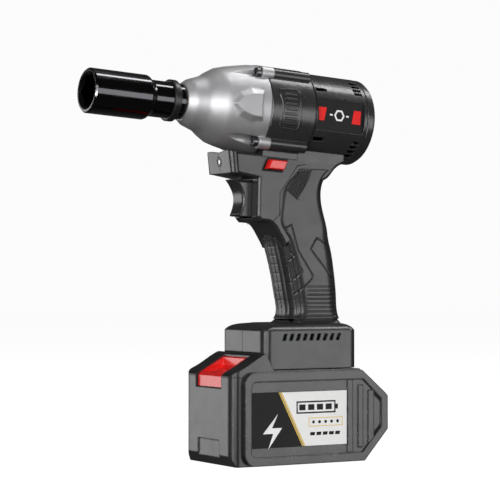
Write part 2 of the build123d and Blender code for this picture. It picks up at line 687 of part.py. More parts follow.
with BuildPart() as trigger_spring:
    spring_along(station(62.4, 0, -64), 3.2, 0.45, 15.4, 7)
finish(trigger_spring.part, "trigger_spring")

button_gap = 0.35
button_out = 5.2
with BuildPart() as direction_button:
    slab([(62.6 + 1.7 * button_gap, -43.8 + button_gap), (65.6 + 0.9 * button_gap, -36.2 - button_gap),
          (80.4 - 1.7 * button_gap, -36.2 - button_gap), (77.4 - 0.9 * button_gap, -43.8 + button_gap)],
         -block_half - button_out, block_half, side)
    chamfer(edges().group_by(Axis.Y)[0], length=0.8)
    chamfer(edges().group_by(Axis.Y)[-1], length=0.8)
finish(direction_button.part, "direction_button")

into_nose = [-a for a in lamp_axis]
with BuildPart() as lamp_lens:
    bar(Plane(origin=at(lamp[0] + 0.3, 0, lamp[1]), z_dir=into_nose), 3.3, 3.4)
finish(lamp_lens.part, "lamp_lens")

with BuildPart() as lamp_board:
    slab([(39.6, -45.2), (38.4, -36.8), (39.8, -36.8), (41.0, -45.2)], -8, 8, side)
finish(lamp_board.part, "lamp_board")

# ---------------------------------------------------------------- electronics in the foot
blade_places = [-12.0, -4.0, 4.0, 12.0]
with BuildPart() as terminal_block:
    brick((28, -17, 69.6), (39.4, 17, 76.8))
finish(terminal_block.part, "terminal_block")

with BuildPart() as terminal_blades:
    for y in blade_places:
        brick((14.5, y - 0.4, 71.6), (28, y + 0.4, 75.6))
finish(terminal_blades.part, "terminal_blades")

with BuildPart() as controller_board:
    brick((-26, -24, 80.6), (33, 24, 82.2))
    for x in (-18, -8, 2, 12, 22):
        for y in (-18, 14):
            brick((x, y, 82.2), (x + 7, y + 5, 84.6))
    for x in (-14, 0, 14):
        bar(Plane.XY.offset(82.2).shift_origin((x, 0, 82.2)), 4.0, 9)
finish(controller_board.part, "controller_board")

# ---------------------------------------------------------------- battery case
front_face, front_toe, toe_height = -66.0, -62.0, 7.7
tail = 64.0


def battery_plan(inset, corner):
    """Keep what lies inside the battery's plan outline, with its rounded front corners."""
    half = battery_half - inset
    with BuildSketch(Plane.XY.offset(-5)) as plan:
        with Locations(((front_face + inset + 90) / 2, 0)):
            RectangleRounded(90 - front_face - inset, 2 * half, corner)
    extrude(plan.sketch, amount=100, mode=Mode.INTERSECT)


screw_columns = (-59.2, 40.9)
tray_posts = [(x, y) for x in screw_columns for y in (-28.2, 28.2)]
post_radius, head_radius, thread_radius = 3.4, 2.4, 1.4
head_seat = 46.2


def case_posts():
    """Leave a post standing for each screw between the tray and the cover."""
    for x, y in tray_posts:
        bar(Plane.XY.offset(-5).shift_origin((x, y, -5)), post_radius, 90, Mode.SUBTRACT)


with BuildPart() as tray_room:
    slab([(-60.9, 1.7), (front_face + wall, 8.1), (front_face + wall, seam + 1), (44.5, seam + 1),
          (62.3, 48.0), (62.3, 23.6), (43.4, 1.7)], -battery_half + wall, battery_half - wall)
    battery_plan(wall, 5.0)
    case_posts()

with BuildPart() as battery_tray:
    slab([(front_toe, 0), (front_face, toe_height), (front_face, seam), (46.3, seam), (tail, 48.7),
          (tail, 23.0), (44.2, 0)], -battery_half, battery_half)
    battery_plan(0, 6.5)
    add(tray_room.part, mode=Mode.SUBTRACT)
    for x, y in tray_posts:
        bar(Plane.XY.offset(-1).shift_origin((x, y, -1)), head_radius + 0.1, head_seat + 3.05, Mode.SUBTRACT)
        bar(Plane.XY.offset(40).shift_origin((x, y, 40)), thread_radius + running, 40, Mode.SUBTRACT)
    brick((-70, -18.9, 55.2), (-60, 18.9, 80), Mode.SUBTRACT)
    brick((-70, -15.5, 4.4), (front_face + 0.9, 15.5, 18.2), Mode.SUBTRACT)
finish(battery_tray.part, "battery_tray")

with BuildPart() as cover_room:
    slab([(-64.4, 60), (-64.4, 63.8), (-57.2, 67.6), (-47.0, 73.4), (-38.6, 77.6), (-32.6, 66.2),
          (41.6, 66.2), (44.2, 60)], -battery_half + wall, battery_half - wall)
    battery_plan(wall, 5.0)
    case_posts()

with BuildPart() as battery_cover:
    with BuildSketch(upright.offset(-battery_half)) as cover_side:
        with BuildLine():
            bow = Spline((front_face, 64.1), (-58.0, 69.1), (-47.5, 75.0), (-38.9, 79.6),
                         tangents=[(0.7, 1), (1, 0.4)])
            Polyline(bow @ 1, (-37.9, 79.9), (-31.0, deck), (42.3, deck), (46.3, seam), (front_face, seam),
                     (front_face, 64.1))
        make_face()
    extrude(cover_side.sketch, amount=2 * battery_half)
    battery_plan(0, 6.5)
    add(cover_room.part, mode=Mode.SUBTRACT)
    brick((-34.0, -rail_neck, 66.3), (26.5, rail_neck, rail_waist))
    brick((-33.5, -rail_head, rail_waist), (26.5, rail_head, rail_top))
    for x, y in tray_posts:
        bar(Plane.XY.offset(60).shift_origin((x, y, 60)), thread_radius + running, 5.4, Mode.SUBTRACT)
    brick((-70, -18.9, 60), (-42.0, 18.9, 90), Mode.SUBTRACT)
    brick((-30.4, -9.8, 60), (-25.0, 9.8, 80), Mode.SUBTRACT)
    for y in blade_places:
        brick((12, y - 1.7, 69), (30, y + 1.7, 80), Mode.SUBTRACT)
finish(battery_cover.part, "battery_cover")

with BuildPart() as battery_screws:
    for x, y in tray_posts:
        bar(Plane.XY.offset(head_seat).shift_origin((x, y, head_seat)), head_radius, 2.0)
        bar(Plane.XY.offset(head_seat + 2).shift_origin((x, y, head_seat + 2)), thread_radius, 17)
finish(battery_screws.part, "battery_screws")

panel_front, panel_floor = -57.0, 36.5
panel_outline = [(panel_front, 0.3), (44.5, 0.3), (65.0, 22.9), (65.0, 47.2), (63.2, 49.4), (42.3, 66.9),
                 (panel_front, 66.9)]
recess_outline = [(-51.8, 6.4), (42.6, 6.4), (59.6, 24.8), (59.6, 45.3), (43.4, 60.2), (-51.8, 60.2)]
rib_columns = [(29.9, 34.3), (39.3, 43.4), (48.1, 52.9)]
rib_low, rib_high, rib_face = 7.0, 60.0, 37.6
label_low, label_high, label_thickness = (-51.5, 12.9), (29.5, 52.6), 0.4


def rounded(points, plane, radius):
    """An outline with its two front corners rounded."""
    with BuildSketch(plane) as outline:
        with BuildLine():
            Polyline(*points, close=True)
        make_face()
        fillet(outline.vertices().group_by(Axis.X)[0], radius=radius)
    return outline.sketch


for name, outward in (("left", -1), ("right", 1)):
    with BuildPart() as battery_panel:
        low_y, high_y = sorted((outward * battery_half, outward * panel_half))
        extrude(rounded(panel_outline, upright.offset(-high_y), 8.5), amount=high_y - low_y)
        low_y, high_y = sorted((outward * panel_floor, outward * (panel_half + 1)))
        extrude(rounded(recess_outline, upright.offset(-high_y), 4.5), amount=high_y - low_y,
                mode=Mode.SUBTRACT)
        low_y, high_y = sorted((outward * (panel_floor - 0.1), outward * rib_face))
        for low_x, high_x in rib_columns:
            inward = low_x - rib_columns[0][0]
            brick((low_x, low_y, rib_low + 0.35 * inward), (high_x, high_y, rib_high - 0.45 * inward))
    finish(battery_panel.part, f"battery_panel_{name}")
    low_y, high_y = sorted((outward * panel_floor, outward * (panel_floor + label_thickness)))
    with BuildPart() as battery_label:
        brick((label_low[0], low_y, label_low[1]), (label_high[0], high_y, label_high[1]))
    finish(battery_label.part, f"battery_label_{name}")

# ---------------------------------------------------------------- inside the battery
cell_centre, cell_base = -9.3, 11.2
cell_places = [(cell_centre + cell_column_pitch * (column - 2), cell_base + cell_row_pitch * row)
               for column in range(cell_columns) for row in range(cell_rows)]
with BuildPart() as cells:
    for x, z in cell_places:
        cross_bar(x, z, cell_radius, -cell_length / 2, cell_length / 2)
        cross_bar(x, z, 3.0, cell_length / 2, cell_length / 2 + 0.3)
finish(cells.part, "cells")

with BuildPart() as cell_holder:
    for low_y in (-31.4, 30.0):
        brick((-55.7, low_y, 1.75), (37.1, low_y + 1.4, 58.8))
    for x, z in cell_places:
        cross_bar(x, z, cell_radius + running, -40, 40, Mode.SUBTRACT)
finish(cell_holder.part, "cell_holder")

with BuildPart() as battery_board:
    brick((-22, -26, 60.2), (36, 26, 61.8))
    for x in (-14, 0, 14):
        brick((x, -20, 61.8), (x + 6, -14, 63.4))
    for y in blade_places:
        brick((13, y - 1.5, 69.2), (26, y - 0.9, 75.8))
        brick((13, y + 0.9, 69.2), (26, y + 1.5, 75.8))
finish(battery_board.part, "battery_board")

with BuildPart() as release_button:
    with BuildSketch(upright.offset(-18.4)) as button_side:
        with BuildLine():
            slope = Spline((-64.1, 63.6), (-57.7, 68.6), (-47.3, 74.4), (-42.5, 77.0),
                           tangents=[(0.7, 1), (1, 0.5)])
            Polyline(slope @ 1, (-42.5, 66.0), (-46.3, 66.0), (-62.1, 61.9), (-62.1, 55.8), (-64.1, 55.8),
                     (-64.1, 63.6))
        make_face()
    extrude(button_side.sketch, amount=36.8)
    slab([(-61.8, 64.2), (-46.5, 68.2), (-44.4, 70.5), (-44.4, 80), (-61.8, 80)], -15.6, 15.6,
         mode=Mode.SUBTRACT)
    brick((-43.5, -8, 64.1), (-26, 8, 65.9))
    brick((-46.3, -8, 64.1), (-42.5, 8, 66.5))
    brick((-29.6, -9, 64.1), (-25.8, 9, 76.7))
finish(release_button.part, "release_button")

with BuildPart() as latch_springs:
    for y in (-12, 12):
        spring_along(Plane.XY.offset(58.8).shift_origin((-49.5, y, 58.8)), 2.6, 0.4, 6.2, 4)
finish(latch_springs.part, "latch_springs")
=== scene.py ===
import json
from math import cos, pi, radians, sin

import bmesh
import bpy
import numpy as np
from mathutils import Euler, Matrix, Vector


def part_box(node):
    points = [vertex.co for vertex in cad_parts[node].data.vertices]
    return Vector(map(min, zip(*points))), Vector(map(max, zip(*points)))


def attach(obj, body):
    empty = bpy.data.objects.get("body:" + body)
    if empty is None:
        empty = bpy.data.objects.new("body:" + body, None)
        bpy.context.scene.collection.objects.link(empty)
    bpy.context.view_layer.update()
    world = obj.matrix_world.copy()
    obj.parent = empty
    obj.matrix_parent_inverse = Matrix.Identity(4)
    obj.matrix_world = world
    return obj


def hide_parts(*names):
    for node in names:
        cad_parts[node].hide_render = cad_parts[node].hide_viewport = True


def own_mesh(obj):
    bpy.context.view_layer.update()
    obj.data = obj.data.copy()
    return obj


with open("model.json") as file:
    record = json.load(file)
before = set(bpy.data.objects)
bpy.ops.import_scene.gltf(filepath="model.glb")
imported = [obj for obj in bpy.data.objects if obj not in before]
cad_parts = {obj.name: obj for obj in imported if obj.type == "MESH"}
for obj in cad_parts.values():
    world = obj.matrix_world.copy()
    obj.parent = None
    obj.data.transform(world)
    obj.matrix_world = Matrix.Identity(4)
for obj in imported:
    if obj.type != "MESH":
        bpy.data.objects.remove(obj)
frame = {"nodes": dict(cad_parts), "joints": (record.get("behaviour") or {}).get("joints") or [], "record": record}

MM = 0.001
scene = bpy.context.scene
nodes = frame["nodes"]
record = frame["record"]
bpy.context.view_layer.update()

# ------------------------------------------------------------ the drive line's frame
joints = {joint["name"]: joint for joint in frame["joints"]}
hex_mount = next(mount for mount in record["mounts"] if mount["name"] == "socket_hex")
AXIS = Vector(joints["output_spin"]["axis"])
RISE = Vector((-AXIS.z, 0, AXIS.x))
hex_to_nose = 74     # mm from the socket's mouth to the gear case's front
NOSE = Vector(hex_mount["pos_m"]) + AXIS * hex_to_nose * MM


def drive(u, y=0.0, w=0.0):
    """A point u mm behind the nose along the drive line, y mm to the right and w mm above it."""
    return NOSE + AXIS * (u * MM) + RISE * (w * MM) + Vector((0, y * MM, 0))


# ------------------------------------------------------------ materials
def number(tree, operation, first, second):
    """A Math node; each input is a number or a socket."""
    node = tree.nodes.new("ShaderNodeMath")
    node.operation = operation
    for socket, value in zip(node.inputs, (first, second)):
        if isinstance(value, (int, float)):
            socket.default_value = value
        else:
            tree.links.new(value, socket)
    return node.outputs["Value"]


def ramp(tree, value, low, high, start=0.0, end=1.0):
    """A Map Range node, clamped."""
    node = tree.nodes.new("ShaderNodeMapRange")
    for name, setting in zip(("From Min", "From Max", "To Min", "To Max"), (low, high, start, end)):
        node.inputs[name].default_value = setting
    tree.links.new(value, node.inputs["Value"])
    return node.outputs["Result"]


def blend_colours(tree, factor, first, second, mode="MIX"):
    """A colour Mix node; the factor and each colour are a value or a socket."""
    node = tree.nodes.new("ShaderNodeMix")
    node.data_type = "RGBA"
    node.blend_type = mode
    for name, value in (("Factor", factor), ("A", first), ("B", second)):
        socket = next(i for i in node.inputs if i.name == name and i.enabled)
        if isinstance(value, bpy.types.NodeSocket):
            tree.links.new(value, socket)
        else:
            socket.default_value = (*value, 1.0) if isinstance(value, tuple) else value
    return next(o for o in node.outputs if o.enabled)


def noise(tree, place, scale, detail):
    """A Noise Texture node."""
    node = tree.nodes.new("ShaderNodeTexNoise")
    node.inputs["Scale"].default_value = scale
    node.inputs["Detail"].default_value = detail
    tree.links.new(place, node.inputs["Vector"])
    return node.outputs["Fac"]


def shader(name, base, roughness, metallic=0.0, coat=0.0, coat_roughness=0.1, grain=2600.0, depth=0.012,
           vary=0.1, rough_vary=0.025, bevel=0.35, wear=0.2, region=None, other=None, painted_groove_shade=False,
           specular=0.5):
    """A worn, moulded or machined surface: mottled colour, uneven gloss, fine grain and soft edges.

    region(tree, position) gives 1 where the surface has the other colour and roughness."""
    made = bpy.data.materials.new(name)
    made.use_nodes = True
    tree = made.node_tree
    join = tree.links.new
    bsdf = tree.nodes["Principled BSDF"]
    bsdf.inputs["Metallic"].default_value = metallic
    bsdf.inputs["Specular IOR Level"].default_value = specular
    bsdf.inputs["Coat Weight"].default_value = coat
    bsdf.inputs["Coat Roughness"].default_value = coat_roughness
    position = tree.nodes.new("ShaderNodeTexCoord").outputs["Object"]
    mottle = noise(tree, position, 90.0, 5.0)
    gloss = ramp(tree, mottle, 0.3, 0.7, roughness - rough_vary, roughness + rough_vary)
    colour = base
    if region:
        inside = region(tree, position)
        colour = blend_colours(tree, inside, base, other[0])
        step = number(tree, "MULTIPLY", inside, other[1] - roughness)
        gloss = number(tree, "ADD", gloss, step)
    tone = ramp(tree, mottle, 0.3, 0.7, 1.0 - vary, 1.0 + vary)
    colour = blend_colours(tree, 1.0, colour, tone, "MULTIPLY")
    round_edge = tree.nodes.new("ShaderNodeBevel")
    round_edge.samples = 4
    round_edge.inputs["Radius"].default_value = bevel * MM
    bend = tree.nodes.new("ShaderNodeVectorMath")
    bend.operation = "DOT_PRODUCT"
    join(round_edge.outputs["Normal"], bend.inputs[0])
    join(tree.nodes.new("ShaderNodeNewGeometry").outputs["Normal"], bend.inputs[1])
    edge = ramp(tree, bend.outputs["Value"], 0.985, 0.9, 0.0, wear)
    colour = blend_colours(tree, edge, colour, tuple(min(1.0, c * 1.8 + 0.03) for c in base))
    # painted shade: darken the colour in grooves by the amount stored on the mesh
    if painted_groove_shade:
        groove = tree.nodes.new("ShaderNodeAttribute")
        groove.attribute_name = "painted_groove_shade"
        shade = ramp(tree, groove.outputs["Fac"], 0.0, 1.0, 1.0, 0.12)
        colour = blend_colours(tree, 1.0, colour, shade, "MULTIPLY")
    join(colour, bsdf.inputs["Base Color"])
    join(gloss, bsdf.inputs["Roughness"])
    bump = tree.nodes.new("ShaderNodeBump")
    bump.inputs["Strength"].default_value = 1.0
    bump.inputs["Distance"].default_value = depth * MM
    join(noise(tree, position, grain, 2.0), bump.inputs["Height"])
    join(round_edge.outputs["Normal"], bump.inputs["Normal"])
    join(bump.outputs["Normal"], bsdf.inputs["Normal"])
    return made


def along(tree, position, way):
    """Distance in mm from the nose of the drive line, measured along a direction."""
    place = tree.nodes.new("ShaderNodeVectorMath")
    place.operation = "DOT_PRODUCT"
    tree.links.new(position, place.inputs[0])
    place.inputs[1].default_value = way
    return number(tree, "MULTIPLY", number(tree, "SUBTRACT", place.outputs["Value"], NOSE.dot(way)), 1 / MM)


def housing_black(tree, position):
    """1 on the motor housing, the lamp's block and round the selector, 0 on the handle and the foot."""
    u, w = along(tree, position, AXIS), along(tree, position, RISE)
    barrel = ramp(tree, w, -35.2, -34.4)
    edge = number(tree, "ADD", u, number(tree, "MULTIPLY", w, 0.12))
    block = number(tree, "MULTIPLY", ramp(tree, edge, 35.9, 35.4), ramp(tree, w, -60.0, -59.0))
    skew = number(tree, "ADD", u, number(tree, "MULTIPLY", w, -0.39))
    slot = number(tree, "MULTIPLY", ramp(tree, skew, 78.6, 79.0), ramp(tree, skew, 95.9, 95.5))
    slot = number(tree, "MULTIPLY", slot, ramp(tree, w, -44.9, -44.5))
    return number(tree, "MAXIMUM", barrel, number(tree, "MAXIMUM", block, slot))


def beside_panel(tree, position):
    """1 on the battery case behind its front face."""
    split = tree.nodes.new("ShaderNodeSeparateXYZ")
    tree.links.new(position, split.inputs[0])
    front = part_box("battery_tray")[0].x
    return ramp(tree, split.outputs["X"], front + 3.4 * MM, front + 4.4 * MM)


def facing_up(tree, position):
    """1 on the sloping and level top of the battery, 0 on its sides, by the direction of the face; the 1 marks
    painted shade, a darker black.
    """
    split = tree.nodes.new("ShaderNodeSeparateXYZ")
    tree.links.new(tree.nodes.new("ShaderNodeNewGeometry").outputs["True Normal"], split.inputs[0])
    return ramp(tree, split.outputs["Z"], 0.2, 0.4)


deep_black = (0.011, 0.011, 0.012)
soft_black = (0.02, 0.02, 0.021)
soft_grey = (0.024, 0.024, 0.025)
film = {"depth": 0.003, "bevel": 0.1, "wear": 0.0}
housing_finish = shader("housing_finish", (0.022, 0.022, 0.023), 0.3, bevel=0.9, wear=0.04,
                        region=housing_black, other=(soft_grey, 0.27))
cover_black = shader("cover_black", (0.022, 0.022, 0.023), 0.27, bevel=0.4)
rib_black = shader("rib_black", soft_black, 0.3, bevel=0.06, wear=0.0)
trigger_grey = shader("trigger_grey", soft_black, 0.26, depth=0.01, bevel=0.9, wear=0.04)
# grip rubber: painted shade darkens its grooves
grip_rubber = shader("grip_rubber", soft_black, 0.32, depth=0.016, grain=1900, bevel=0.3, painted_groove_shade=True)
panel_grey = shader("panel_grey", soft_grey, 0.28, bevel=1.3, wear=0.03)
tray_finish = shader("tray_finish", soft_grey, 0.3, depth=0.014, bevel=1.3, wear=0.03,
                     region=beside_panel, other=(deep_black, 0.3))
# painted shade: the lid's up-facing top is coloured a darker black than its sides
lid_shaded_top = shader("lid_shaded_top", soft_grey, 0.3, depth=0.014, bevel=1.0, wear=0.03,
                    region=facing_up, other=(deep_black, 0.3))
cast_bright = shader("cast_bright", (0.5, 0.5, 0.51), 0.5, metallic=0.8, depth=0.01, grain=1500, vary=0.04,
                     rough_vary=0.03, bevel=1.6, wear=0.1)
black_chrome = shader("black_chrome", (0.025, 0.025, 0.028), 0.14, metallic=1.0, coat=0.5,
                      coat_roughness=0.08, depth=0.004, vary=0.08, rough_vary=0.04, bevel=0.4)
bare_steel = shader("bare_steel", (0.5, 0.5, 0.5), 0.28, metallic=1.0, depth=0.006, grain=900, bevel=0.3)
dark_steel = shader("dark_steel", (0.13, 0.13, 0.135), 0.3, metallic=1.0, bevel=0.3)
soft_rubber = shader("soft_rubber", (0.01, 0.01, 0.01), 0.36, bevel=0.6)
gloss_red = shader("gloss_red", (0.72, 0.012, 0.01), 0.28, coat=0.3, coat_roughness=0.15, vary=0.05,
                    bevel=0.4)
film_black = shader("film_black", (0.01, 0.01, 0.01), 0.5, specular=0.2, **film)
film_white = shader("film_white", (0.88, 0.88, 0.87), 0.5, vary=0.02, specular=0.3, **film)
film_red = shader("film_red", (0.8, 0.01, 0.008), 0.5, vary=0.03, specular=0.3, **film)
film_yellow = shader("film_yellow", (0.78, 0.52, 0.08), 0.5, vary=0.03, specular=0.3, **film)
lens_white = shader("lens_white", (0.85, 0.87, 0.9), 0.12, coat=1.0, depth=0.002, vary=0.02, bevel=0.5)
board_green = shader("board_green", (0.015, 0.11, 0.05), 0.35, coat=0.4)
pale_plastic = shader("pale_plastic", (0.55, 0.52, 0.44), 0.45)
copper = shader("copper", (0.72, 0.32, 0.14), 0.3, metallic=1.0)
brass = shader("brass", (0.75, 0.56, 0.25), 0.28, metallic=1.0)
cell_wrap = shader("cell_wrap", (0.05, 0.28, 0.16), 0.3, coat=0.6)
bronze = shader("bronze", (0.5, 0.33, 0.15), 0.4, metallic=1.0, grain=1200)

finishes = {
    housing_finish: ["housing_left", "housing_right"],
    trigger_grey: ["trigger"],
    grip_rubber: ["grip_skin_left", "grip_skin_right"],
    panel_grey: ["battery_panel_left", "battery_panel_right"],
    tray_finish: ["battery_tray"],
    lid_shaded_top: ["battery_cover"],
    cover_black: ["rear_cover", "trigger_switch"],
    cast_bright: ["gear_case", "motor_bracket"],
    black_chrome: ["socket"],
    bare_steel: ["anvil", "anvil_washer", "hammer", "cam_balls", "thrust_balls", "thrust_washer", "spindle",
                 "planet_pins", "planet_gear_1", "planet_gear_2", "planet_gear_3", "ring_gear",
                 "spindle_bearing", "front_motor_bearing", "rear_motor_bearing", "rotor_shaft",
                 "rotor_magnets", "friction_ring", "hammer_spring", "trigger_spring", "latch_springs"],
    dark_steel: ["gear_case_screws", "housing_screws", "battery_screws", "stator_core", "rotor_core"],
    soft_rubber: ["socket_ring"],
    gloss_red: ["direction_button", "release_button"],
    film_black: ["badge_left", "badge_right", "battery_label_left", "battery_label_right"],
    lens_white: ["lamp_lens"],
    board_green: ["sensor_board", "lamp_board", "controller_board", "battery_board"],
    pale_plastic: ["fan", "stator_insulators", "terminal_block", "cell_holder"],
    copper: ["windings"],
    brass: ["terminal_blades"],
    cell_wrap: ["cells"],
    bronze: ["anvil_bushing"],
}
for finish, names in finishes.items():
    for name in names:
        nodes[name].data.materials.clear()
        nodes[name].data.materials.append(finish)

# ------------------------------------------------------------ making pieces
def build(name, points, faces, finish, body, smooth=False):
    """A new piece that moves with a body."""
    mesh = bpy.data.meshes.new(name)
    mesh.from_pydata([tuple(p) for p in points], [], faces)
    mesh.materials.append(finish)
    mesh.polygons.foreach_set("use_smooth", [smooth] * len(mesh.polygons))
    mesh.update()
    piece = bpy.data.objects.new(name, mesh)
    scene.collection.objects.link(piece)
    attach(piece, body)
    return piece


def plates(name, outlines, place, thickness, finish, body):
    """Thin plates with the given outlines; place(a, b, out) gives the point at a, b, raised by out mm."""
    points, faces = [], []
    for outline in outlines:
        first, count = len(points), len(outline)
        points += [place(a, b, 0.0) for a, b in outline] + [place(a, b, thickness) for a, b in outline]
        low, high = list(range(first, first + count)), list(range(first + count, first + 2 * count))
        faces += [low[::-1], high]
        faces += [[low[i], low[(i + 1) % count], high[(i + 1) % count], high[i]] for i in range(count)]
    piece = build(name, points, faces, finish, body)
    shape = bmesh.new()
    shape.from_mesh(piece.data)
    bmesh.ops.recalc_face_normals(shape, faces=shape.faces)
    shape.to_mesh(piece.data)
    shape.free()


def frame_outline(left, right, low, high, width):
    """Four bars round a rectangle."""
    def bar(first_x, first_z, last_x, last_z):
        return [(first_x, first_z), (last_x, first_z), (last_x, last_z), (first_x, last_z)]

    return [bar(left, low, right, low + width), bar(left, high - width, right, high),
            bar(left, low + width, left + width, high - width),
            bar(right - width, low + width, right, high - width)]


def patch(name, place, height, size, counts, finish, body):
    """A moulded patch: a grid laid on a surface, raised by height(a, b) mm."""
    (low_a, high_a), (low_b, high_b) = size
    rows, columns = counts
    points = []
    for i in range(rows):
        for j in range(columns):
            a = low_a + (high_a - low_a) * i / (rows - 1)
            b = low_b + (high_b - low_b) * j / (columns - 1)
            points.append(place(a, b, height(a, b)))
    faces = [(i * columns + j, i * columns + j + 1, (i + 1) * columns + j + 1, (i + 1) * columns + j)
             for i in range(rows - 1) for j in range(columns - 1)]
    build(name, points, faces, finish, body, smooth=True)


def mirror_name(side):
    """The end of a piece's name on a side, -1 for the side that the photograph shows."""
    return "left" if side < 0 else "right"


# ------------------------------------------------------------ battery labels, with a plain generic design
label_low, label_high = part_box("battery_label_left")
left_x, right_x = label_low.x / MM, label_high.x / MM
low_z, high_z = label_low.z / MM, label_high.z / MM
slant_top, slant_low = left_x + 0.285 * (right_x - left_x), left_x + 0.53 * (right_x - left_x)
middle_x = (left_x + right_x) / 2
label_margin = 0.3
white_start = 0.9                 # where the white field begins, behind the slanted edge
film_thin, film_thick = 0.05, 0.1


def slanted(shift, width):
    """A stripe along the label's slanted edge."""
    low, high = low_z + label_margin, high_z - label_margin
    return [(slant_low + shift, low), (slant_low + shift + width, low),
            (slant_top + shift + width, high), (slant_top + shift, high)]


for side in (-1, 1):
    def on_label(x, z, out, side=side):
        """On the left label as drawn; on the right one turned round, so that it reads the same way."""
        x = x if side < 0 else 2 * middle_x - x
        return Vector((x * MM, side * (abs(label_low.y) + out * MM), z * MM))

    where = mirror_name(side)
    low, high, end = low_z + label_margin, high_z - label_margin, right_x - label_margin
    plates("label_white_" + where,
           [[(slant_low + white_start, low), (end, low), (end, high), (slant_top + white_start, high)]],
           on_label, film_thin, film_white, "battery")
    plates("label_stripes_" + where, [slanted(-0.5, 0.9), slanted(1.2, 1.0)], on_label, film_thick,
           film_yellow, "battery")
    # a cell symbol with four charge bars over a framed row of dots and a dashed line
    gauge = frame_outline(-14.0, 19.5, 36.5, 45.5, 1.1)
    gauge.append([(19.5, 39.2), (21.5, 39.2), (21.5, 42.8), (19.5, 42.8)])
    gauge += [[(x, 38.9), (x + 5.3, 38.9), (x + 5.3, 43.1), (x, 43.1)] for x in (-11.6, -4.1, 3.4, 10.9)]
    dots = [[(x + 1.2 * cos(k * pi / 5), 30.2 + 1.2 * sin(k * pi / 5)) for k in range(10)]
            for x in (0.5, 5.7, 10.9, 16.1, 21.3)]
    dashes = [[(x, 20.6), (x + 4.0, 20.6), (x + 4.4, 23.0), (x + 0.4, 23.0)]
              for x in (-2.5, 2.9, 8.3, 13.7, 19.1)]
    plates("label_marks_" + where, gauge + dots + dashes, on_label, film_thick, film_black,
           "battery")
    plates("label_box_" + where, frame_outline(-3.6, 25.6, 27.0, 33.4, 0.5), on_label, film_thick,
           film_yellow, "battery")
    bolt = [(-42.0, 23.0), (-33.5, 23.0), (-37.7, 12.0), (-26.0, 27.0), (-34.5, 27.0), (-29.5, 37.0)]
    plates("label_bolt_" + where, [bolt], on_label, film_thin, film_white, "battery")

# ------------------------------------------------------------ painted shade: black film shapes for the dark slots in the corners of the side recesses
slot_shade_shapes = [[(53.3, 50.8), (59.2, 45.3), (59.2, 42.4), (57.0, 44.9), (53.3, 48.0)],
                [(53.3, 18.3), (53.3, 21.3), (57.0, 24.9), (59.2, 27.6), (59.2, 24.6)]]
for side in (-1, 1):
    where = mirror_name(side)
    floor_y = min(abs(corner.y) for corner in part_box("battery_label_" + where))

    def on_recess(x, z, out, side=side, floor_y=floor_y):
        return Vector((x * MM, side * (floor_y + out * MM), z * MM))

    plates("panel_slot_shade_" + where, slot_shade_shapes, on_recess, film_thick, film_black, "battery")

# ------------------------------------------------------------ ring round the lamp's lens
lamp_middle = drive(34.6, 0, -40.2)
lamp_out = (drive(-16.2, 0, -3.2) - drive(0, 0, 0)).normalized()
lamp_up = (drive(-3.2, 0, 16.2) - drive(0, 0, 0)).normalized()
lamp_across = Vector((0, 1, 0))
profile = [(3.5, -0.3), (3.5, 0.15), (3.1, 0.4), (2.2, 0.4), (1.8, 0.1), (1.8, -0.3)]
turns = 40
ring_points = [lamp_middle + lamp_out * (out * MM) + (lamp_up * cos(2 * pi * k / turns)
               + lamp_across * sin(2 * pi * k / turns)) * (radius * MM)
               for k in range(turns) for radius, out in profile]
size = len(profile)
ring_faces = [(k * size + i, k * size + (i + 1) % size, (k + 1) % turns * size + (i + 1) % size,
               (k + 1) % turns * size + i) for k in range(turns) for i in range(size)]
build("lamp_ring", ring_points, ring_faces, cover_black, "tool")

# ------------------------------------------------------------ beads on the lamp block, seams by the trigger
block_side = 17.5                 # half width of the lamp block
seam_half, seam_depth, seam_rise = 0.28, 0.15, 0.05
bead_width, bead_rise = 5.4, 0.9
seam = [(98.0, -37.2), (91.0, -38.6), (77.2, -59.9), (77.6, -75.9), (71.2, -82.2)]


def side_face(u, w, side):
    """How far out the housing or the grip skin reaches at a place on the handle's side."""
    place = drive(u, 0, w)
    reach = [block_side - 0.3]
    for name in ("housing_", "grip_skin_"):
        piece = nodes[name + mirror_name(side)]
        into = piece.matrix_world.inverted()
        start = into @ Vector((place.x, side * 0.1, place.z))
        hit, spot, _, _ = piece.ray_cast(start, into.to_3x3() @ Vector((0, -side, 0)))
        if hit:
            reach.append(abs((piece.matrix_world @ spot).y) / MM)
    return max(reach)


def strip_along(line, step, half_width):
    """Pairs of points on both sides of a line, a step apart."""
    pairs = []
    for (ax, ay), (bx, by) in zip(line, line[1:]):
        length = ((bx - ax) ** 2 + (by - ay) ** 2) ** 0.5
        across = (-(by - ay) / length * half_width, (bx - ax) / length * half_width)
        parts = max(1, round(length / step))
        for i in range(parts + 1):
            x, y = ax + (bx - ax) * i / parts, ay + (by - ay) * i / parts
            pairs.append(((x - across[0], y - across[1]), (x + across[0], y + across[1])))
    return pairs


for side in (-1, 1):
    points = []
    for pair in strip_along(seam, 1.0, seam_half):
        middle = ((pair[0][0] + pair[1][0]) / 2, (pair[0][1] + pair[1][1]) / 2)
        face = side_face(*middle, side)
        points += [drive(u, side * (face + out), w) for u, w in pair for out in (-seam_depth, seam_rise)]
    count = len(points) // 4
    loops = [(0, 1), (1, 3), (3, 2), (2, 0)]
    faces = [(4 * k + i, 4 * k + j, 4 * k + 4 + j, 4 * k + 4 + i)
             for k in range(count - 1) for i, j in loops]
    build("seam_" + mirror_name(side), points, faces, film_black, "tool")

    def on_block(across, w, out, side=side):
        front = 34.2 - 0.17 * (w + 33.0)
        return drive(front + bead_width * across, side * (block_side - 0.05 + out), w)

    patch("block_bead_" + mirror_name(side), on_block,
          lambda across, w: bead_rise * sin(pi * across) ** 0.6, ((0.0, 1.0), (-48.3, -33.4)),
          (24, 12), cover_black, "tool")
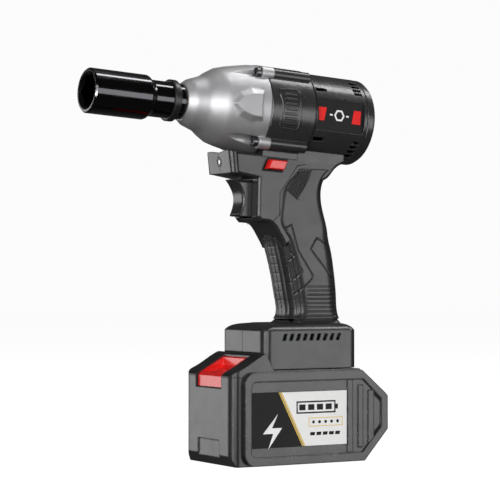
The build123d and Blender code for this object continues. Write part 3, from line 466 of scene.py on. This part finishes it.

# ------------------------------------------------------------ painted shade: dark rims round the direction button for the shadowed gap round it
button_window = [(62.1, -44.1), (65.3, -35.9), (80.9, -35.9), (77.7, -44.1)]
button_gap_shade = [(60.7, -45.1), (64.9, -34.9), (82.3, -34.9), (78.1, -45.1)]
gap_shade_bars = [[button_gap_shade[k], button_gap_shade[(k + 1) % 4], button_window[(k + 1) % 4], button_window[k]]
            for k in range(4)]
for side in (-1, 1):
    def on_side(u, w, out, side=side):
        return drive(u, side * (block_side + out), w)

    plates("button_gap_shade_" + mirror_name(side), gap_shade_bars, on_side, 0.12, film_black, "tool")

# ------------------------------------------------------------ badges: two red wedges and a nut outline
badge_out = abs(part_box("badge_left")[0].y) / MM
wedges = [[(99.2, 4.9), (106.0, 5.0), (104.2, -4.9), (100.0, -4.9)],
          [(130.0, 5.0), (136.2, 5.1), (136.0, -5.1), (128.4, -5.0)]]
nut_middle, nut_outer, nut_inner = 117.3, 4.6, 3.1
nut = []
for k in range(6):
    first, last = pi / 3 * k, pi / 3 * (k + 1)
    nut.append([(nut_middle + r * cos(a), r * sin(a)) for r, a in
                ((nut_outer, first), (nut_outer, last), (nut_inner, last), (nut_inner, first))])
nut += [[(109.0, 0.6), (111.4, 0.6), (111.4, -0.6), (109.0, -0.6)],
        [(123.2, 0.6), (125.6, 0.6), (125.6, -0.6), (123.2, -0.6)]]
for side in (-1, 1):
    def on_badge(u, w, out, side=side):
        return drive(u, side * (badge_out + out), w)

    plates("badge_wedges_" + mirror_name(side), wedges, on_badge, 0.08, film_red, "tool")
    plates("badge_nut_" + mirror_name(side), nut, on_badge, 0.08, film_white, "tool")

# ------------------------------------------------------------ rib panels on the collar
collar = 33.4                     # the collar's radius
sunk = 0.3                        # how far the patch lies under it between the ribs
rib_start, rib_end = 69.6, 78.2
rib_rows = [10.6 - 3.55 * row for row in range(7)]
panel_edge = [(65.0, 14.2), (79.5, 15.2), (81.6, 12.8), (81.8, -12.8), (79.8, -15.0), (66.0, -13.9),
              (65.6, -8.0), (66.9, -3.0), (66.2, 5.0), (64.4, 10.0)]


def distance_to(point, line, closed=False):
    """Shortest distance from a point to a line of points."""
    ends = list(zip(line, line[1:] + line[:1])) if closed else list(zip(line, line[1:]))
    found = []
    for (ax, ay), (bx, by) in ends:
        dx, dy = bx - ax, by - ay
        t = ((point[0] - ax) * dx + (point[1] - ay) * dy) / (dx * dx + dy * dy)
        t = min(1.0, max(0.0, t))
        found.append(((point[0] - ax - t * dx) ** 2 + (point[1] - ay - t * dy) ** 2) ** 0.5)
    return min(found)


def inside_of(point, outline):
    """Whether a point is inside a closed outline."""
    within = False
    for (ax, ay), (bx, by) in zip(outline, outline[1:] + outline[:1]):
        if (ay > point[1]) != (by > point[1]) and point[0] < (bx - ax) * (point[1] - ay) / (by - ay) + ax:
            within = not within
    return within


def soft_step(value, low, high):
    """0 up to low, 1 from high, and a smooth rise between them."""
    t = min(1.0, max(0.0, (value - low) / (high - low)))
    return t * t * (3 - 2 * t)


def panel_height(u, w):
    """A ridge along the panel's outline with ribs inside it; the rest stays just under the collar."""
    away = distance_to((u, w), panel_edge, closed=True)
    ridge = 1 - soft_step(away, 0.35, 0.8)
    if not inside_of((u, w), panel_edge):
        return ridge - sunk
    row = min(rib_rows, key=lambda height: abs(w - height))
    beyond = max(0.0, rib_start - u, u - rib_end)
    rib = ((w - row) ** 2 + beyond ** 2) ** 0.5
    return max(ridge, 1 - soft_step(rib, 0.6, 1.25)) - sunk


for side in (-1, 1):
    def on_collar(u, w, out, side=side):
        angle = w / collar
        return drive(u, side * (collar + out) * cos(angle), (collar + out) * sin(angle))

    patch("collar_panel_" + mirror_name(side), on_collar, panel_height, ((63.6, 82.8), (-16.0, 16.2)),
          (64, 130), rib_black, "tool")

# ------------------------------------------------------------ softly shaded copies: the gear case casting
def body_of(node):
    """The body that carries a node."""
    return next(body for body, held in record["behaviour"]["bodies"].items() if node in held)


def soften(node, finish, turn):
    """The same surface with smooth shading, except across edges sharper than the given turn."""
    mesh = nodes[node].data.copy()
    shape = bmesh.new()
    shape.from_mesh(mesh)
    bmesh.ops.remove_doubles(shape, verts=shape.verts, dist=0.002 * MM)
    shape.to_mesh(mesh)
    shape.free()
    if "custom_normal" in mesh.attributes:
        mesh.attributes.remove(mesh.attributes["custom_normal"])
    mesh.materials.clear()
    mesh.materials.append(finish)
    mesh.polygons.foreach_set("material_index", [0] * len(mesh.polygons))
    mesh.polygons.foreach_set("use_smooth", [True] * len(mesh.polygons))
    mesh.set_sharp_from_angle(angle=radians(turn))
    soft = bpy.data.objects.new(node + "_soft", mesh)
    scene.collection.objects.link(soft)
    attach(soft, body_of(node))
    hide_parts(node)
    return soft


soften("gear_case", cast_bright, 27)

# ------------------------------------------------------------ springs, softly shaded, each with a mesh of its own
coil_turn = 40
for node, joint, way in (("hammer_spring", "hammer_retract", AXIS), ("trigger_spring", "trigger_pull", AXIS),
                         ("latch_springs", "latch_press", Vector((0, 0, -1)))):
    coil = soften(node, bare_steel, coil_turn)
    reach = [vertex.co.dot(way) for vertex in coil.data.vertices]
    middle = sum((vertex.co for vertex in coil.data.vertices), Vector()) / len(reach)
    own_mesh(coil)

# ------------------------------------------------------------ grip: ridges, ticks, seams and hatching
def side_line(points):
    """A line on the handle's side, given as (u, w), as (x, z) in mm."""
    placed = [drive(u, 0, w) for u, w in points]
    return [(p.x / MM, p.z / MM) for p in placed]


thumb_panel = [(-12.4, 170.3), (-6.4, 173.3), (-0.8, 154.7), (12.1, 136.1), (11.3, 133.8), (-2.2, 121.8)]
palm_panel = [(28.5, 157.0), (23.5, 159.5), (15.7, 163.7), (14.0, 161.8), (10.2, 155.5), (28.2, 135.3),
              (33.5, 133.0)]
ticks = [[(-11.2, 164.6), (-9.3, 161.2), (-10.2, 159.6)], [(-6.2, 152.8), (-3.7, 150.3), (-6.7, 147.0)],
         [(1.5, 141.5), (3.2, 139.3), (-2.8, 133.5)]]
hatch = side_line([(82.4, -56.9), (91.3, -42.6), (103.6, -40.9), (92.2, -63.8)])
hatch_edge = side_line([(79.6, -57.3), (90.6, -40.0), (106.6, -38.2)])
hatch_way = Vector((hatch[1][0] - hatch[0][0], hatch[1][1] - hatch[0][1])).normalized()
rib_heights = [128.0 - 3.05 * row for row in range(8)]
ridge_pitch, hatch_pitch = 6.6, 1.9
corner_table = ([104, 121, 145, 163, 177, 200], [11.0, 13.5, 13.0, 11.0, 8.0, 8.0])


def dent(distance, half, depth):
    """A round-bottomed groove."""
    return depth * (1 - soft_step(distance, 0.25 * half, half))


def carve(x, y, z, front, half):
    """Depth in mm to take off the grip's outer face, and how much painted shade darkens the groove there."""
    corner = float(np.interp(z, *corner_table))
    flat = half - corner
    if x > front + corner:
        around = flat + corner * pi / 2 + x - front - corner
    elif abs(y) <= flat:
        around = abs(y)
    else:
        around = flat + corner * np.arctan2(abs(y) - flat, front + corner - x)
    fade = soft_step(z, 103.5, 107.0) * (1 - soft_step(z, 163.0, 173.0))
    deep = max(dent(abs(around - 7.0), 2.6, 0.4), dent(abs(around - 17.4), 2.9, 0.7)) * fade
    half_pitch = ridge_pitch / 2
    wave = abs((z - 104.5) % ridge_pitch - half_pitch)
    if around < 4.4:
        deep += 0.08 * fade * soft_step(wave, 2.2, half_pitch)
    fine = 0.0
    if 9.8 < around < 15.0:
        fine = dent(half_pitch - wave, 0.45, 0.14) * fade
    if around > 15.0:
        fine = max(fine, dent(distance_to((x, z), thumb_panel), 0.5, 0.45))
        fine = max(fine, dent(distance_to((x, z), palm_panel), 0.5, 0.45))
        for tick in ticks:
            fine = max(fine, dent(distance_to((x, z), tick), 0.45, 0.4))
        if 5.0 < x < 34.0:
            ends = soft_step(x, 5.0, 8.0)
            fine = max(fine, dent(min(abs(z - row) for row in rib_heights), 0.6, 0.32) * ends * 0.8)
        if z > 190:
            fine = max(fine, dent(distance_to((x, z), hatch_edge), 0.5, 0.45))
            if inside_of((x, z), hatch):
                across = (x * hatch_way.y - z * hatch_way.x) % hatch_pitch
                fine = max(fine, dent(abs(across - hatch_pitch / 2), 0.75, 0.5))
    return deep + fine, min(1.0, fine / 0.4)


def section_table(mesh_points):
    """The front edge and half width of the handle for each height."""
    heights = np.arange(104, 218, 2.0)
    front, half = [], []
    for z in heights:
        band = mesh_points[np.abs(mesh_points[:, 2] - z) < 1.6]
        front.append(band[:, 0].min() if len(band) else np.nan)
        half.append(np.abs(band[:, 1]).max() if len(band) else np.nan)
    good = ~np.isnan(front)
    return heights[good], np.array(front)[good], np.array(half)[good]


voxel = 0.45
handle_middle = 21.0              # mm behind the handle's front edge
parting = 0.3                     # mm left uncarved beside the parting line
for side in (-1, 1):
    node = "grip_skin_" + mirror_name(side)
    grip = bpy.data.objects.new("grip_" + mirror_name(side), nodes[node].data.copy())
    scene.collection.objects.link(grip)
    remesh = grip.modifiers.new("voxels", "REMESH")
    remesh.mode = "VOXEL"
    remesh.voxel_size = voxel * MM
    graph = bpy.context.evaluated_depsgraph_get()
    fine_mesh = bpy.data.meshes.new_from_object(grip.evaluated_get(graph))
    grip.modifiers.clear()
    grip.data = fine_mesh
    fine_mesh.materials.clear()
    fine_mesh.materials.append(grip_rubber)
    count = len(fine_mesh.vertices)
    points, normals = np.zeros(count * 3), np.zeros(count * 3)
    fine_mesh.vertices.foreach_get("co", points)
    fine_mesh.vertex_normals.foreach_get("vector", normals)
    points, normals = points.reshape(-1, 3) / MM, normals.reshape(-1, 3)
    heights, fronts, halves = section_table(points)
    front_at = np.interp(points[:, 2], heights, fronts)
    half_at = np.interp(points[:, 2], heights, halves)
    middle = front_at + handle_middle
    outward = (points[:, 0] - middle) * normals[:, 0] * 0.6 + points[:, 1] * normals[:, 1]
    dark = np.zeros(count)
    for i in np.nonzero((outward > 0) & (np.abs(normals[:, 2]) < 0.85))[0]:
        x, y, z = points[i]
        if abs(y) < parting:
            continue
        taken, dark[i] = carve(x, y, z, front_at[i], half_at[i])
        points[i] -= normals[i] * taken
    fine_mesh.vertices.foreach_set("co", (points * MM).ravel())
    # painted shade: the groove darkness is kept on the mesh for the rubber's colour
    shades = fine_mesh.attributes.new("painted_groove_shade", "FLOAT", "POINT")
    shades.data.foreach_set("value", dark)
    fine_mesh.polygons.foreach_set("use_smooth", [True] * len(fine_mesh.polygons))
    fine_mesh.update()
    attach(grip, "tool")
    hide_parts(node)

# ------------------------------------------------------------ floor, light and camera
bpy.ops.mesh.primitive_plane_add(size=12)
floor = bpy.context.object
floor.name = "floor"
floor.visible_diffuse = False
floor.visible_glossy = False
pale = bpy.data.materials.new("pale_floor")
pale.use_nodes = True
pale_shader = pale.node_tree.nodes["Principled BSDF"]
pale_shader.inputs["Base Color"].default_value = (0.15, 0.15, 0.15, 1)
pale_shader.inputs["Roughness"].default_value = 0.9
pale_shader.inputs["Emission Color"].default_value = (1, 1, 1, 1)
pale_shader.inputs["Emission Strength"].default_value = 0.95
floor.data.materials.append(pale)

world = bpy.data.worlds.new("studio")
scene.world = world
world.use_nodes = True
backdrop = world.node_tree.nodes["Background"]
backdrop.inputs["Color"].default_value = (1, 1, 1, 1)
seen = world.node_tree.nodes.new("ShaderNodeLightPath")
level = world.node_tree.nodes.new("ShaderNodeMapRange")
level.inputs["To Min"].default_value = 0.06
level.inputs["To Max"].default_value = 0.97
world.node_tree.links.new(seen.outputs["Is Camera Ray"], level.inputs["Value"])
world.node_tree.links.new(level.outputs["Result"], backdrop.inputs["Strength"])


def lamp(name, place, aim, power, width, height):
    """A rectangular studio light."""
    data = bpy.data.lights.new(name, "AREA")
    data.shape = "RECTANGLE"
    data.size, data.size_y, data.energy = width, height, power
    light = bpy.data.objects.new(name, data)
    light.location = place
    light.rotation_euler = (Vector(aim) - Vector(place)).to_track_quat("-Z", "Y").to_euler()
    scene.collection.objects.link(light)


lamp("front", (-1.1, -2.0, 0.45), (0, 0, 0.14), 26, 0.8, 0.8)
lamp("side_panel", (1.2, -2.0, 0.1), (0, 0, 0.12), 15, 1.2, 1.0)
lamp("back_panel", (-1.3, 2.0, 0.1), (0, 0, 0.12), 11, 1.2, 1.0)
lamp("left_strip", (-1.25, -0.72, 0.2), (0, 0, 0.16), 14, 0.08, 1.1)
lamp("top_strip", (0.75, -0.1, 1.35), (0, 0, 0.25), 12, 0.22, 1.3)
lamp("overhead", (0, 0, 3.0), (0, 0, 0), 8, 3.0, 3.0)

view = bpy.data.cameras.new("view")
view.lens = 131.1
view.sensor_width = 36.0
view.clip_end = 50
camera = bpy.data.objects.new("view", view)
camera.location = (-0.7076, -1.1487, 0.1305)
camera.rotation_euler = Euler((radians(91.04), 0, radians(-30.5)))
scene.collection.objects.link(camera)
scene.camera = camera
scene.view_settings.view_transform = "Standard"
